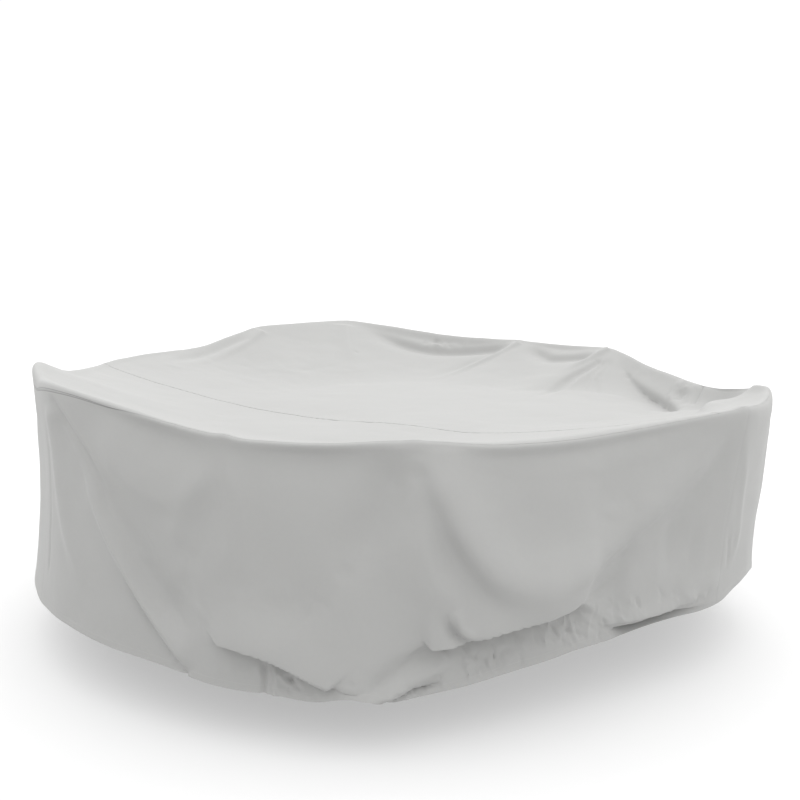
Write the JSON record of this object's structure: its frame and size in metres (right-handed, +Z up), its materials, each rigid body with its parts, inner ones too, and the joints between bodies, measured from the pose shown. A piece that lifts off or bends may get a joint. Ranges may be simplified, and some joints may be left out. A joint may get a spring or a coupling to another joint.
{
  "type": "round patio furniture cover",
  "caption": "Round fitted outdoor cover with a seamed top and a hanging skirt, draped over a ring of high points, hollow beneath.",
  "frame": {"origin": "on the underside of the top, at its centre, where the cloth rests on what it covers", "axes": "+Z up, -Y towards the front of the picture, +X to its right; the ground is at z = -0.71 m"},
  "size_m": [2.578, 2.6384, 0.7895],
  "materials": {
    "cloth": "matt light grey woven polyester with a thin coating"
  },
  "bodies": {
    "root": {"top_main": "cloth", "top_front": "cloth", "skirt_front": "cloth", "skirt_back": "cloth"}
  },
  "joints": []
}
